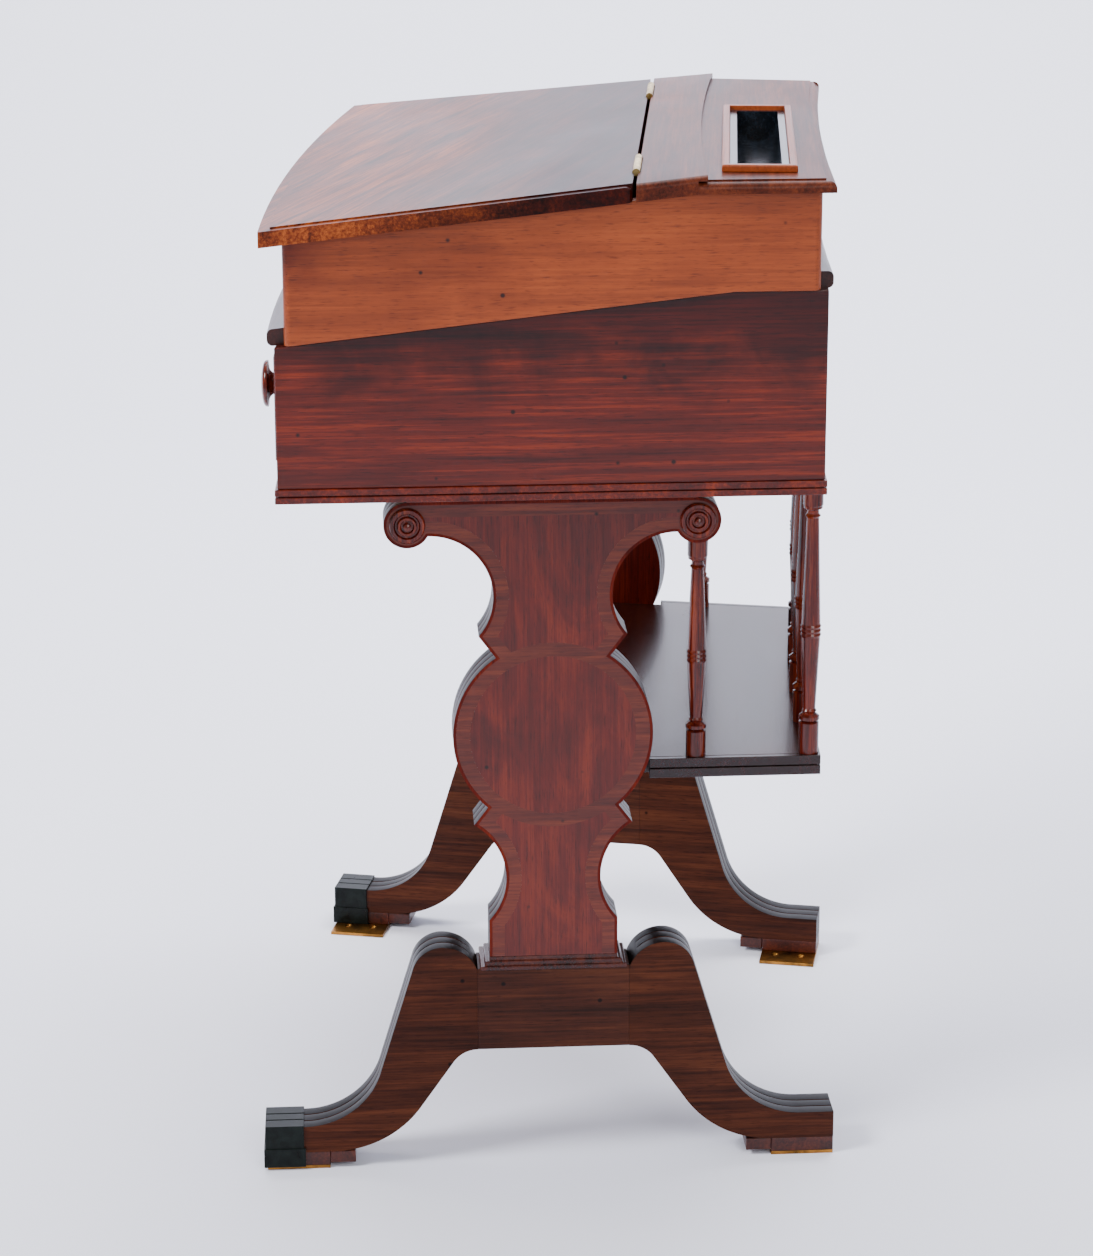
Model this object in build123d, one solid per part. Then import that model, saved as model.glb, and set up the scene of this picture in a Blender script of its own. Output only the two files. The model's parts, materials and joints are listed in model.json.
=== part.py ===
from build123d import *
from math import asin, atan2, cos, degrees, hypot, radians, sin, tan
import os

# Slope-top writing desk on trestle ends, built for a curved row of seats.
#
# The plan is a sector: both ends lean in towards the rear, the front edges bow out and the
# rear edges are hollow. A shallow writing box with a hinged lid stands on the older case,
# which holds one drawer. Two lyre-shaped trestles on splayed feet carry the case, and a
# book shelf with turned spindles joins them. The feet are held down by brass floor plates.
#
# Frame: +Z up, floor at Z = 0, -Y is the sitter's side, +X is the sitter's right hand.

os.makedirs("parts", exist_ok=True)

# ---- plan: one sector shared by every board ----
wedge = radians(6.7)          # each end leans in by this angle
half_middle = 323.4           # half width of the lid, half way back
front_bow = 15.5              # rise of the bowed front edges
rear_hollow = 6.5             # depth of the hollow rear edges
step_hollow = 8.5             # depth of the hollow at the step in the top

# ---- heights ----
case_base = 639.0             # underside of the case
case_front_top = 775.4        # underside of the writing board, at the box front
case_rear_top = 817.0         # underside of the writing board, at the rear
lid_hinge_under = 896.0       # underside of the lid at the hinge line
rear_board_under = 902.0      # underside of the level rear board
top_slope = 0.1104            # rise of the sloping boards per unit of depth

# ---- upper boards ----
lid_front = -239.0
hinge_line = 70.0
step_line = 131.0
top_rear = 238.0
lid_thickness = 15.0
thumb_drop = 1.5              # quirk above the thumb moulding
thumb_width = 9.0
thumb_radius = 6.0
rear_board_thickness = 11.0
lid_gap = 3.4                 # gap that the hinge knuckles stand in
step_lap = 7.0                # the strip laps over the rear board by this much

# ---- writing box ----
box_front = -222.0
box_rear = 226.5
cheek_inset = 11.3            # from the lid's end to the outer face of the cheek
cheek_thickness = 12.0
cheek_round = 6.5
box_board = 12.0
hinge_rail_depth = 22.0
hinge_rail_height = 14.0

# ---- writing board, the older top ----
board_front = -237.0
board_rear = 237.5
board_thickness = 14.5
board_round = 5.0

# ---- case ----
case_front = -230.0
case_rear = 233.5
case_inset = 14.3
case_board = 12.0
moulding_height = 12.5
moulding_proud = 2.0
moulding_width = 14.0
rail_depth = 18.0
lower_rail_height = 21.5
drawer_height = 90.0
drawer_play = 1.0             # gap all round the drawer front
drawer_proud = 2.5
drawer_front_thickness = 18.0
drawer_half = 256.0           # half width of the drawer box
drawer_side = 10.0
drawer_back = 200.0
drawer_bottom_thickness = 6.0
drawer_side_drop = 8.0        # the drawer sides stand this much lower than its front
runner_width = 26.0
guide_height = 17.0
side_play = 1.0
stop_depth = 10.0

# ---- knobs ----
knob_spread = 230.0
knob_radius = 20.5
knob_length = 16.5
knob_neck_radius = 9.0
knob_tenon_radius = 5.0
fit_gap = 0.1                 # round a tenon in its hole

# ---- hinges ----
hinge_spread = 220.0
hinge_length = 76.0
knuckle_radius = 3.3
pin_radius = 1.4
pin_play = 0.05
knuckle_rise = 0.6            # of the pin above the lid's surface
knuckle_gap = 0.35
leaf_thickness = 1.4
leaf_height = 11.0
knuckle_room = 0.5

# ---- pen tray ----
tray_left = -80.0
tray_right = 262.0
tray_front = 142.0
tray_rear = 206.0
frame_width = 6.5
frame_rise = 6.5
tray_play = 0.5
tray_flange = 4.0
tray_flange_thickness = 2.0
tray_wall = 2.0
tray_depth = 27.0

# ---- trestles ----
trestle_inset = 51.0
trestle_thickness = 38.0
trestle_base = 204.0
cleat_height = 11.0
disc_height = 413.0
disc_radius = 88.3
neck_radius = 56.0
neck_centre = (108.0, 541.5)
neck_tip = (65.5, 506.0)
waist_radius = 60.0
waist_centre = (102.0, 279.0)
waist_tip = (70.3, 330.0)
base_half = 57.4
scroll_centre = (126.2, 607.4)
scroll_radius = 20.4
reed_depth = 2.6
reed_gap = 1.3
reed_count = 3
veneer = 1.0
band_width = 11.0
disc_band_width = 12.5
boss_radius = 15.8
boss_rise = 8.0
plinth_half = 66.0
plinth_height = 12.0
plinth_proud = 5.0

# ---- feet ----
joint_half = 68.5             # half length of the rail between the legs
rail_top = 192.0
rail_under = 113.5
hump = (100.0, 213.5)
hump_radius = 27.5
instep_radius = 72.0
toe_top = 41.5
toe_start = 226.0             # the top of a toe is level from here
toe_under = 16.5
sole_start = 200.0            # the underside of a toe is level from here
arch_radius = 27.0
sole_radius = 96.0
front_toe = 261.0
rear_toe = 257.0
plate_thickness = 3.2
block_long = 57.0
block_short = 23.0
block_gap = 0.3
short_block_lift = 2.0
sleeve_wall = 1.6
sleeve_length = 35.0
collar_height = 18.0
collar_proud = 1.4
plate_reach = 28.0            # of a floor plate past the inner face of the foot
plate_hole_radius = 2.6
plate_hole_spacing = 27.0
plate_hole_margin = 19.0
plate_sink = 1.4
dowel_radius = 5.0
dowel_length = 50.0
dowel_spread = 36.0

# ---- shelf and spindles ----
shelf_top = 380.0
shelf_thickness = 18.0
shelf_front = 0.0
shelf_rear = 237.0
shelf_inset = 74.0
shelf_step = 84.0             # where the shelf widens behind the trestle's disc
shelf_bow = 4.0
edging_width = 6.0
spindle_radius = 9.3
front_spindle_line = 125.0
rear_spindle_line = 226.0
rear_spindle_hollow = 6.0
spindle_inset = 11.0          # axis of an end spindle in from the shelf's end
rear_spindles = 6
shelf_cleat_height = 16.0
shelf_cleat_depth = 12.0

far = 600.0                   # reach of the cutting blocks, past everything


# the toes and floor plates reach furthest; the desk is centred between them
sleeve_proud = sleeve_wall + collar_proud
plate_corner = front_toe * cos(wedge) + (trestle_thickness + plate_reach) * sin(wedge)
sleeve_corner = (front_toe + sleeve_proud) * cos(wedge) + (trestle_thickness + sleeve_proud) * sin(wedge)
centring = (max(plate_corner, sleeve_corner) - rear_toe * cos(wedge)) / 2


# ---- helpers: the sector plan ----
def half_width(y, inset):
    """Half the width at depth y, this far inside the lid's end planes."""
    return half_middle - inset / cos(wedge) - y * tan(wedge)


def edge(x_end, y_end, rise):
    """A bowed or straight edge between the two ends."""
    if rise == 0:
        return Line((-x_end, y_end), (x_end, y_end))
    return ThreePointArc((-x_end, y_end), (0, y_end - rise), (x_end, y_end))


def plan(front, rear, inset, bow, hollow):
    """The sector outline between two depths, as a face on the floor."""
    front_half = half_width(front, inset)
    rear_half = half_width(rear, inset)
    with BuildSketch() as sketch:
        with BuildLine():
            edge(front_half, front, bow)
            Line((front_half, front), (rear_half, rear))
            edge(rear_half, rear, hollow)
            Line((-rear_half, rear), (-front_half, front))
        make_face()
    return sketch.sketch


def end_strip(front, rear, inset, thickness):
    """Plan of one board that lies along the right-hand end."""
    corners = [
        (half_width(front, inset), front),
        (half_width(rear, inset), rear),
        (half_width(rear, inset + thickness), rear),
        (half_width(front, inset + thickness), front),
    ]
    with BuildSketch() as sketch:
        with BuildLine():
            Polyline(*corners, close=True)
        make_face()
    return sketch.sketch


def slab(face, low, high):
    """A level slab from a plan."""
    return extrude(Pos(0, 0, low) * face, amount=high - low)


def arc_depth(x, y_end, x_end, rise):
    """Depth of a bowed edge at x, and the tangent's turn there."""
    radius = (x_end ** 2 + rise ** 2) / (2 * rise)
    turn = asin(x / radius)
    return y_end - rise + radius * (1 - cos(turn)), turn


# ---- helpers: the sloping profile ----
def lid_under(y):
    """Underside of the upper boards."""
    return min(lid_hinge_under + top_slope * (y - hinge_line), rear_board_under)


def board_under(y):
    """Underside of the writing board, which is also the top of the case."""
    return min(case_front_top + top_slope * (y - box_front), case_rear_top)


lid_knee = hinge_line + (rear_board_under - lid_hinge_under) / top_slope
board_knee = box_front + (case_rear_top - case_front_top) / top_slope


def wedge_block(low, high):
    """Everything between two profiles, each a list of (depth, height) points."""
    with BuildSketch(Plane.YZ) as sketch:
        with BuildLine():
            Polyline(*low, *reversed(high), close=True)
        make_face()
    return extrude(sketch.sketch, amount=far, both=True)


def profile(height, knee, lift=0.0):
    """Points of a sloping line that turns level at its knee."""
    return [(y, height(y) + lift) for y in (-far / 2, knee, far / 2)]


def level(z):
    """Points of a level line."""
    return [(-far / 2, z), (far / 2, z)]


def solids_of(shape):
    """All the solids in a shape or in a list of shapes."""
    pieces = shape if isinstance(shape, (list, tuple)) else [shape]
    return [solid for piece in pieces for solid in piece.solids()]


def save(name, shape):
    """Write one named node, with the whole desk centred over its origin."""
    solids = [Pos(0, centring, 0) * solid for solid in solids_of(shape)]
    export_step(Compound(solids), "parts/" + name + ".step")


def mirrored(shape):
    """The same solids on the left-hand side."""
    return [solid.mirror(Plane.YZ) for solid in solids_of(shape)]


def save_pair(name, shape):
    """Write a right-hand piece and its mirror image as two nodes."""
    save(name + "_right", shape)
    save(name + "_left", mirrored(shape))


def save_both(name, shape):
    """Write the pieces of both sides as one node."""
    save(name, solids_of(shape) + mirrored(shape))


# ---- helpers: the end planes ----
def end_plane(inset):
    """Plane of the right-hand end: X runs to the rear, Y up, Z out of the desk."""
    along = (-sin(wedge), cos(wedge), 0)
    out = (cos(wedge), sin(wedge), 0)
    behind = inset - trestle_inset
    x = half_middle - trestle_inset / cos(wedge) - behind * cos(wedge)
    return Plane(origin=(x, -behind * sin(wedge), 0), x_dir=along, z_dir=out)


def end_solid(face, outer_inset, thickness):
    """A face drawn as (along, up) made into a board of the right-hand end."""
    return extrude(end_plane(outer_inset + thickness) * face, amount=thickness)


def reed_grooves(ring, outer_inset, thickness):
    """Thin cutters that part an edge into reeds."""
    pitch = thickness / reed_count
    cutters = []
    for index in range(1, reed_count):
        inset = outer_inset + index * pitch - reed_gap / 2
        cutters.append(end_solid(ring, inset, reed_gap))
    return cutters


def rectangle(left, right, low, high):
    """A face from its limits, as (along, up)."""
    return Pos((left + right) / 2, (low + high) / 2) * Rectangle(right - left, high - low)


def block(left, right, front, rear, low, high):
    """A plain block from its limits."""
    size = Box(right - left, rear - front, high - low)
    return Pos((left + right) / 2, (front + rear) / 2, (low + high) / 2) * size


# ---- upper boards ----
def moulded_slab(front, rear, inset, bow, hollow, low, high, square):
    """A board with a quirk and thumb moulding on its free edges; square names the plain one."""
    drop_high = [(y, z - thumb_drop) for y, z in high]
    outline = plan(front, rear, inset, bow, hollow)
    body = slab(outline, 0, 2 * far) & wedge_block(low, drop_high)
    rim = body.faces().sort_by(Axis.Z)[-1].edges()
    plain = {"front": rim.sort_by(Axis.Y)[0], "rear": rim.sort_by(Axis.Y)[-1]}[square]
    body = fillet([e for e in rim if e != plain], thumb_radius)
    crown_front = front + (0 if square == "front" else thumb_width)
    crown_rear = rear - (0 if square == "rear" else thumb_width)
    crown_plan = plan(crown_front, crown_rear, inset + thumb_width, bow, hollow)
    return body + (slab(crown_plan, 0, 2 * far) & wedge_block(low, high))


def hinge_height():
    """Height of the hinge pins."""
    return lid_under(hinge_line) + lid_thickness + knuckle_rise


def along_x(x, radius, length):
    """A bar on the hinge axis."""
    return Pos(x, hinge_line, hinge_height()) * Rot(0, 90, 0) * Cylinder(radius, length)


def leaf(x, side):
    """One hinge leaf, let into the edge that faces the gap; side -1 is the lid's."""
    face_y = hinge_line + side * lid_gap / 2
    front, rear = sorted((face_y, face_y + side * leaf_thickness))
    top = hinge_height()
    return block(x - hinge_length / 2, x + hinge_length / 2, front, rear, top - leaf_height, top)


def let_in(board, side):
    """Cut the seats of both hinges out of the lid (-1) or the strip (+1)."""
    for x in (-hinge_spread, hinge_spread):
        board -= along_x(x, knuckle_radius + knuckle_room, hinge_length + 2 * knuckle_room)
        board -= leaf(x, side)
    return board


def sloping(lift):
    """The plane of the lid's underside, carried past the hinge."""
    rise = top_slope * far
    start = lid_under(hinge_line) + lift
    return [(hinge_line - far, start - rise), (hinge_line + far, start + rise)]


def make_lid():
    rear = hinge_line - lid_gap / 2
    lid = moulded_slab(
        lid_front, rear, 0, front_bow, 0, sloping(0), sloping(lid_thickness), "rear"
    )
    return let_in(lid, -1)


def make_strip():
    """The fixed strip between the hinge and the step."""
    front = hinge_line + lid_gap / 2
    outline = plan(front, step_line, 0, 0, step_hollow)
    strip = slab(outline, 0, 2 * far) & wedge_block(sloping(0), sloping(lid_thickness))
    rim = strip.faces().sort_by(Axis.Z)[-1].edges().sort_by(Axis.X)
    strip = fillet([rim[0], rim[-1]], thumb_radius)
    strip -= behind_step() & block(-far, far, -far, far, 0, rear_board_under + rear_board_thickness)
    return let_in(strip, 1)


def behind_step():
    """All that lies behind the lapped joint between the strip and the rear board."""
    return slab(plan(step_line - step_lap, far / 2, -2 * thumb_width, step_hollow, 0), 0, 2 * far)


def make_rear_board():
    """The level board, with its moulded edges run past the step before that is cut."""
    low = level(rear_board_under)
    high = level(rear_board_under + rear_board_thickness)
    board = moulded_slab(hinge_line, top_rear, 0, 0, rear_hollow, low, high, "front")
    board -= tray_block(frame_width + tray_flange, 0, 2 * far)
    return board & behind_step()


# ---- pen tray ----
def tray_block(margin, low, high):
    """A block inside the tray frame's outline, in by this margin."""
    return block(
        tray_left + margin, tray_right - margin, tray_front + margin, tray_rear - margin, low, high
    )


def make_tray_frame():
    low = rear_board_under + rear_board_thickness
    frame = tray_block(0, low, low + frame_rise)
    frame = fillet(frame.edges().group_by(Axis.Z)[-1], frame_rise / 3)
    return frame - tray_block(frame_width, low, low + frame_rise)


def make_tray():
    """The lift-out trough: a rim that rests on the board and a round-bottomed hollow."""
    top = rear_board_under + rear_board_thickness
    rim = tray_block(frame_width + tray_play, top, top + tray_flange_thickness)
    margin = frame_width + tray_flange + tray_play
    mouth = tray_block(margin + tray_wall, top, top + tray_flange_thickness)
    return rim + trough(margin, 0, top) - trough(margin, tray_wall, top) - mouth


def trough(margin, inward, top):
    """A round-bottomed bar along X, level on top; inward leaves a wall all round."""
    left, right = tray_left + margin + inward, tray_right - margin - inward
    front, rear = tray_front + margin + inward, tray_rear - margin - inward
    radius = (rear - front) / 2
    axis_height = top - tray_depth + radius + inward
    bar = Cylinder(radius, right - left)
    bar = Pos((left + right) / 2, (front + rear) / 2, axis_height) * Rot(0, 90, 0) * bar
    lower = bar & block(left, right, front, rear, axis_height - radius, axis_height)
    return lower + block(left, right, front, rear, axis_height, top)


# ---- hinges ----
def hinge_pieces():
    """Fixed leaves, moving leaves and pins of both hinges."""
    fixed, moving, pins = [], [], []
    knuckles = 5
    pitch = hinge_length / knuckles
    for x in (-hinge_spread, hinge_spread):
        plates = {1: leaf(x, 1), -1: leaf(x, -1)}
        for index in range(knuckles):
            side = 1 if index % 2 == 0 else -1
            centre = x - hinge_length / 2 + (index + 0.5) * pitch
            plates[side] += along_x(centre, knuckle_radius, pitch - knuckle_gap)
            other = block(
                centre - pitch / 2 - knuckle_gap / 2,
                centre + pitch / 2 + knuckle_gap / 2,
                hinge_line - knuckle_radius - knuckle_room,
                hinge_line + knuckle_radius + knuckle_room,
                hinge_height() - knuckle_radius - knuckle_room,
                hinge_height() + knuckle_radius + knuckle_room,
            )
            plates[-side] -= other
        bore = along_x(x, pin_radius + pin_play, hinge_length + 1)
        fixed.append(plates[1] - bore)
        moving.append(plates[-1] - bore)
        pins.append(along_x(x, pin_radius, hinge_length))
    return fixed, moving, pins


# ---- writing box ----
def box_zone():
    """Between the writing board's top and the upper boards' underside."""
    low = profile(board_under, board_knee, board_thickness)
    return wedge_block(low, profile(lid_under, lid_knee))


def make_cheek():
    """A box end, which also covers the end of the writing board."""
    strip = end_strip(box_front, box_rear, cheek_inset, cheek_thickness)
    zone = wedge_block(profile(board_under, board_knee), profile(lid_under, lid_knee))
    cheek = slab(strip, 0, 2 * far) & zone
    upright = cheek.edges().filter_by(Axis.Z).sort_by(Axis.X)
    outer = [e for e in upright if on_end(e, cheek_inset)]
    return fillet(outer, cheek_round)


def on_end(edge_line, inset):
    """Whether an upright edge stands on the end plane at this inset."""
    middle = edge_line @ 0.5
    return abs(middle.X - half_width(middle.Y, inset)) < 0.1


def box_wall(front, rear, rise):
    """The front or back of the writing box, between the cheeks."""
    outline = plan(front, rear, cheek_inset + cheek_thickness, rise, rise)
    return slab(outline, 0, 2 * far) & box_zone()


def make_hinge_rail():
    """The rail under the strip that the hinges are carried on."""
    front = hinge_line + lid_gap / 2
    outline = plan(front, front + hinge_rail_depth, cheek_inset + cheek_thickness, 0, 0)
    high = profile(lid_under, lid_knee)
    low = [(y, z - hinge_rail_height) for y, z in high]
    return slab(outline, 0, 2 * far) & wedge_block(low, high)


def make_writing_board():
    inset = cheek_inset + cheek_thickness
    outline = plan(board_front, board_rear, inset, front_bow, rear_hollow)
    low = profile(board_under, board_knee)
    high = profile(board_under, board_knee, board_thickness)
    board = slab(outline, 0, 2 * far) & wedge_block(low, high)
    nose = []
    for line in board.edges():
        middle = line @ 0.5
        upright = abs((line @ 0).Z - (line @ 1).Z) > 1
        free = middle.Y < board_front - 1 or middle.Y > board_rear - rear_hollow - 1
        if free and not upright and abs(middle.X) < 1:
            nose.append(line)
    return fillet(nose, board_round)


# ---- case ----
case_floor = case_base + moulding_height
drawer_floor = case_floor + lower_rail_height + drawer_play
drawer_top = drawer_floor + drawer_height
case_inner = case_inset + case_board


def case_zone(low_z):
    """Above a level, up to the writing board."""
    return wedge_block(level(low_z), profile(board_under, board_knee))


def make_case_side():
    strip = end_strip(case_front, case_rear, case_inset, case_board)
    return slab(strip, 0, 2 * far) & case_zone(case_floor)


def make_case_back():
    outline = plan(case_rear - case_board, case_rear, case_inner, rear_hollow, rear_hollow)
    return slab(outline, 0, 2 * far) & case_zone(case_floor)


def make_rail(low, high):
    outline = plan(case_front, case_front + rail_depth, case_inner, front_bow, front_bow)
    return slab(outline, 0, 2 * far) & wedge_block(low, high)


def moulding_plan(margin):
    """The case's outline, out by the moulding's projection and in by a margin."""
    front = case_front - moulding_proud + margin
    rear = case_rear + moulding_proud - margin
    return plan(front, rear, case_inset - moulding_proud + margin, front_bow, rear_hollow)


def make_base_moulding():
    """Two beads round the foot of the case."""
    ring = moulding_plan(0) - moulding_plan(moulding_width)
    skin = moulding_plan(0) - moulding_plan(reed_depth)
    middle = case_base + moulding_height / 2
    groove = slab(skin, middle - reed_gap / 2, middle + reed_gap / 2)
    return slab(ring, case_base, case_floor) - groove


def make_case_bottom():
    return slab(moulding_plan(moulding_width), case_base, case_floor)


def make_runners():
    """Runners under the drawer's sides, each with a guide outside it and a stop behind."""
    front = case_front + rail_depth
    outer = drawer_half + side_play
    pieces = []
    for side in (-1, 1):
        left, right = sorted((side * (outer - runner_width), side * outer))
        runner = block(left, right, front, drawer_back + stop_depth, case_floor, drawer_floor - drawer_play)
        inner, outside = sorted((side * outer, side * (outer + case_board)))
        guide = block(inner, outside, front, drawer_back, case_floor, drawer_floor + guide_height)
        stop_low, stop_high = drawer_floor - drawer_play, drawer_floor + guide_height
        stop = block(
            left, right, drawer_back + drawer_play, drawer_back + stop_depth, stop_low, stop_high
        )
        pieces.append((runner + stop, guide))
    return pieces


# ---- drawer ----
def drawer_front_plan():
    front = case_front - drawer_proud
    rear = front + drawer_front_thickness
    return plan(front, rear, case_inner + drawer_play, front_bow, front_bow)


def knob_place(x):
    """Where a knob's axis meets the drawer front, looking out of the desk."""
    front = case_front - drawer_proud
    half = half_width(front, case_inner + drawer_play)
    y, turn = arc_depth(x, front, half, front_bow)
    z = (drawer_floor + drawer_top) / 2
    return Plane(origin=(x, y, z), x_dir=(cos(turn), sin(turn), 0), z_dir=(sin(turn), -cos(turn), 0))


def make_drawer_front():
    front = slab(drawer_front_plan(), drawer_floor, drawer_top)
    for x in (-knob_spread, knob_spread):
        hole = Cylinder(knob_tenon_radius + fit_gap, 3 * drawer_front_thickness)
        front -= knob_place(x) * hole
    return front


def make_knob(x):
    """A turned mushroom knob with its tenon."""
    with BuildSketch(Plane.XZ) as section:
        with BuildLine():
            Polyline(
                (0, -drawer_front_thickness),
                (knob_tenon_radius, -drawer_front_thickness),
                (knob_tenon_radius, fit_gap),
                (knob_neck_radius + 2, fit_gap),
                (knob_neck_radius + 2, 2.0),
                (knob_neck_radius, 3.5),
            )
            Spline(
                (knob_neck_radius, 3.5),
                (knob_neck_radius + 1.5, 7.5),
                (knob_radius, 10.5),
                tangents=[(0, 1), (1, 0.1)],
            )
            Spline(
                (knob_radius, 10.5),
                (knob_radius * 0.7, knob_length - 1.2),
                (0, knob_length),
                tangents=[(0.1, 1), (-1, 0)],
            )
            Line((0, knob_length), (0, -drawer_front_thickness))
        make_face()
    return knob_place(x) * revolve(section.sketch, Axis.Z)


def drawer_board(left, right, low, high):
    """A board that runs back from the drawer front's bowed rear face."""
    front = case_front - drawer_proud + drawer_front_thickness
    hollow = plan(front, drawer_back, case_inner + drawer_play, front_bow, 0)
    return block(left, right, -far, far, low, high) & slab(hollow, 0, 2 * far)


def make_drawer_side(side):
    left, right = sorted((side * (drawer_half - drawer_side), side * drawer_half))
    return drawer_board(left, right, drawer_floor, drawer_top - drawer_side_drop)


def make_drawer_back():
    inner = drawer_half - drawer_side
    front = drawer_back - drawer_side
    low = drawer_floor + 2 * drawer_bottom_thickness
    return block(-inner, inner, front, drawer_back, low, drawer_top - drawer_side_drop)


def make_drawer_bottom():
    inner = drawer_half - drawer_side
    low = drawer_floor + drawer_bottom_thickness
    return drawer_board(-inner, inner, low, low + drawer_bottom_thickness)


# ---- trestles ----
trestle_head = case_base - cleat_height
waist_base = waist_centre[1] - (waist_radius ** 2 - (waist_centre[0] - base_half) ** 2) ** 0.5


def shoulder(tip, rise, margin):
    """The straight cut from a tip into the disc, moved in by a margin, as two points."""
    run = 0.75 * rise
    length = (run ** 2 + rise ** 2) ** 0.5
    shift_x = -margin * abs(rise) / length
    shift_z = margin * run / length
    outer = (tip[0] + abs(run) / 2 + shift_x, tip[1] + rise / 2 + shift_z)
    inner = (tip[0] - 2 * abs(run) + shift_x, tip[1] - 2 * rise + shift_z)
    return outer, inner


def trestle_outline(margin):
    """Scroll arms, neck, disc, waist and base, as (along, up), in by a margin."""
    low_tip, low_notch = shoulder(waist_tip, -14, margin)
    high_tip, high_notch = shoulder(neck_tip, 14, margin)
    top = trestle_head - margin
    right = [
        (base_half - margin, trestle_base),
        (base_half - margin, waist_base),
        low_tip,
        low_notch,
        high_notch,
        high_tip,
        (neck_centre[0], neck_centre[1] + neck_radius - 8),
        scroll_centre,
        (scroll_centre[0], top),
    ]
    left = [(-x, z) for x, z in reversed(right)]
    outline = Polygon(*right, *left, align=None)
    for side in (-1, 1):
        outline -= Pos(side * neck_centre[0], neck_centre[1]) * Circle(neck_radius + margin)
        outline -= Pos(side * waist_centre[0], waist_centre[1]) * Circle(waist_radius + margin)
    for side in (-1, 1):
        outline += Pos(side * scroll_centre[0], scroll_centre[1]) * Circle(scroll_radius - margin)
    return outline + Pos(0, disc_height) * Circle(disc_radius - margin)


def veneer_faces():
    """Field veneers and crossbanding of a trestle's outer face."""
    zone = trestle_outline(reed_depth)
    disc = Pos(0, disc_height) * Circle(disc_radius - reed_depth)
    disc_field = Pos(0, disc_height) * Circle(disc_radius - reed_depth - disc_band_width)
    inner = trestle_outline(reed_depth + band_width) - disc
    fields = inner + disc_field
    return fields, zone - fields


def make_trestle():
    """The trestle's core, its field veneers and its crossbanding."""
    outline = trestle_outline(0)
    zone = trestle_outline(reed_depth)
    panel = end_solid(outline, trestle_inset, trestle_thickness)
    for cutter in reed_grooves(outline - zone, trestle_inset, trestle_thickness):
        panel -= cutter
    fields, bands = veneer_faces()
    core = panel - end_solid(zone, trestle_inset, veneer)
    sheets = [end_solid(face, trestle_inset, veneer) for face in (fields, bands)]
    return core, sheets[0], sheets[1]


def make_bosses():
    """Two turned roundels on the scrolls."""
    step = boss_rise / 4
    with BuildSketch(Plane.XZ) as section:
        with BuildLine():
            Polyline(
                (0, 0),
                (boss_radius, 0),
                (boss_radius, step),
                (boss_radius - 1.2, 2 * step),
                (boss_radius - 4.2, 2 * step),
                (boss_radius - 5.4, step),
                (boss_radius - 6.8, step),
                (boss_radius - 7.8, 2.6 * step),
                (boss_radius - 9.6, 2.6 * step),
                (boss_radius - 10.6, 1.4 * step),
                (boss_radius - 12.2, 1.4 * step),
                (boss_radius - 12.8, 3.4 * step),
                (0, 4 * step),
                close=True,
            )
        make_face()
    turned = revolve(section.sketch, Axis.Z)
    face = end_plane(trestle_inset)
    pieces = []
    for side in (-1, 1):
        place = face * Pos(side * scroll_centre[0], scroll_centre[1], 0)
        pieces.append(place * turned)
    return pieces


def make_top_cleat():
    face = rectangle(-scroll_centre[0], scroll_centre[0], trestle_head, case_base)
    return end_solid(face, trestle_inset, trestle_thickness)


def make_plinth():
    """The moulding between the trestle's base and the foot rail."""
    parts = []
    step = plinth_height / 3
    proud = plinth_proud
    for index in range(3):
        grow = proud * (2 - index) / 2
        low = rail_top + index * step
        half = base_half + (plinth_half - base_half) * (2 - index) / 2
        face = rectangle(-half, half, low, low + step)
        parts.append(end_solid(face, trestle_inset - grow, trestle_thickness + 2 * grow))
    return parts[0] + parts[1] + parts[2]


# ---- feet ----
def ogee(top, top_radius, low, low_radius):
    """Draw two arcs, level at their far ends, and the straight line that joins them."""
    reach = low[0] - top[0]
    drop = low[1] - top[1] + top_radius + low_radius
    lean = atan2(drop, reach) - asin((top_radius + low_radius) / hypot(reach, drop))
    upper = JernArc(top, (1, 0), top_radius, degrees(lean))
    lower = JernArc(low, (-1, 0), low_radius, degrees(lean))
    Line(upper @ 1, lower @ 1)


def leg_outline(toe):
    """A splayed leg to the rear, as (along, up)."""
    shoulder_point = (joint_half, rail_top - 2)
    crown = (joint_half, rail_under)
    with BuildSketch() as sketch:
        with BuildLine():
            TangentArc(hump, shoulder_point, tangent=(-1, 0))
            ogee(hump, hump_radius, (toe_start, toe_top), instep_radius)
            Polyline((toe_start, toe_top), (toe, toe_top), (toe, toe_under), (sole_start, toe_under))
            ogee(crown, arch_radius, (sole_start, toe_under), sole_radius)
            Line(crown, shoulder_point)
        make_face()
    return sketch.sketch


def make_leg(toe, side):
    """A leg with reeds along its upper edge and down its end; side -1 is the front leg."""
    outline = leg_outline(toe)
    skin = outline - Pos(-reed_depth, -reed_depth) * outline
    skin = skin & rectangle(joint_half, toe + 1, toe_under, hump[1] + 1)
    leg = end_solid(turned_to(side, outline), trestle_inset, trestle_thickness)
    for cutter in reed_grooves(turned_to(side, skin), trestle_inset, trestle_thickness):
        leg -= cutter
    return leg


def turned_to(side, face):
    """The face itself, or its mirror image towards the front."""
    return face if side > 0 else mirror(face, about=Plane.YZ)


def make_foot_rail():
    face = rectangle(-joint_half, joint_half, rail_under, rail_top)
    return end_solid(face, trestle_inset, trestle_thickness)


def make_dowels():
    """Pegs that hold the legs to the rail."""
    pegs = []
    middle = trestle_inset + trestle_thickness / 2
    for along in (-joint_half, joint_half):
        for z in (rail_under + 20, rail_under + 20 + dowel_spread):
            peg = Rot(0, 90, 0) * Cylinder(dowel_radius, dowel_length)
            pegs.append(end_plane(middle) * Pos(along, z, 0) * peg)
    return pegs


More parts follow.
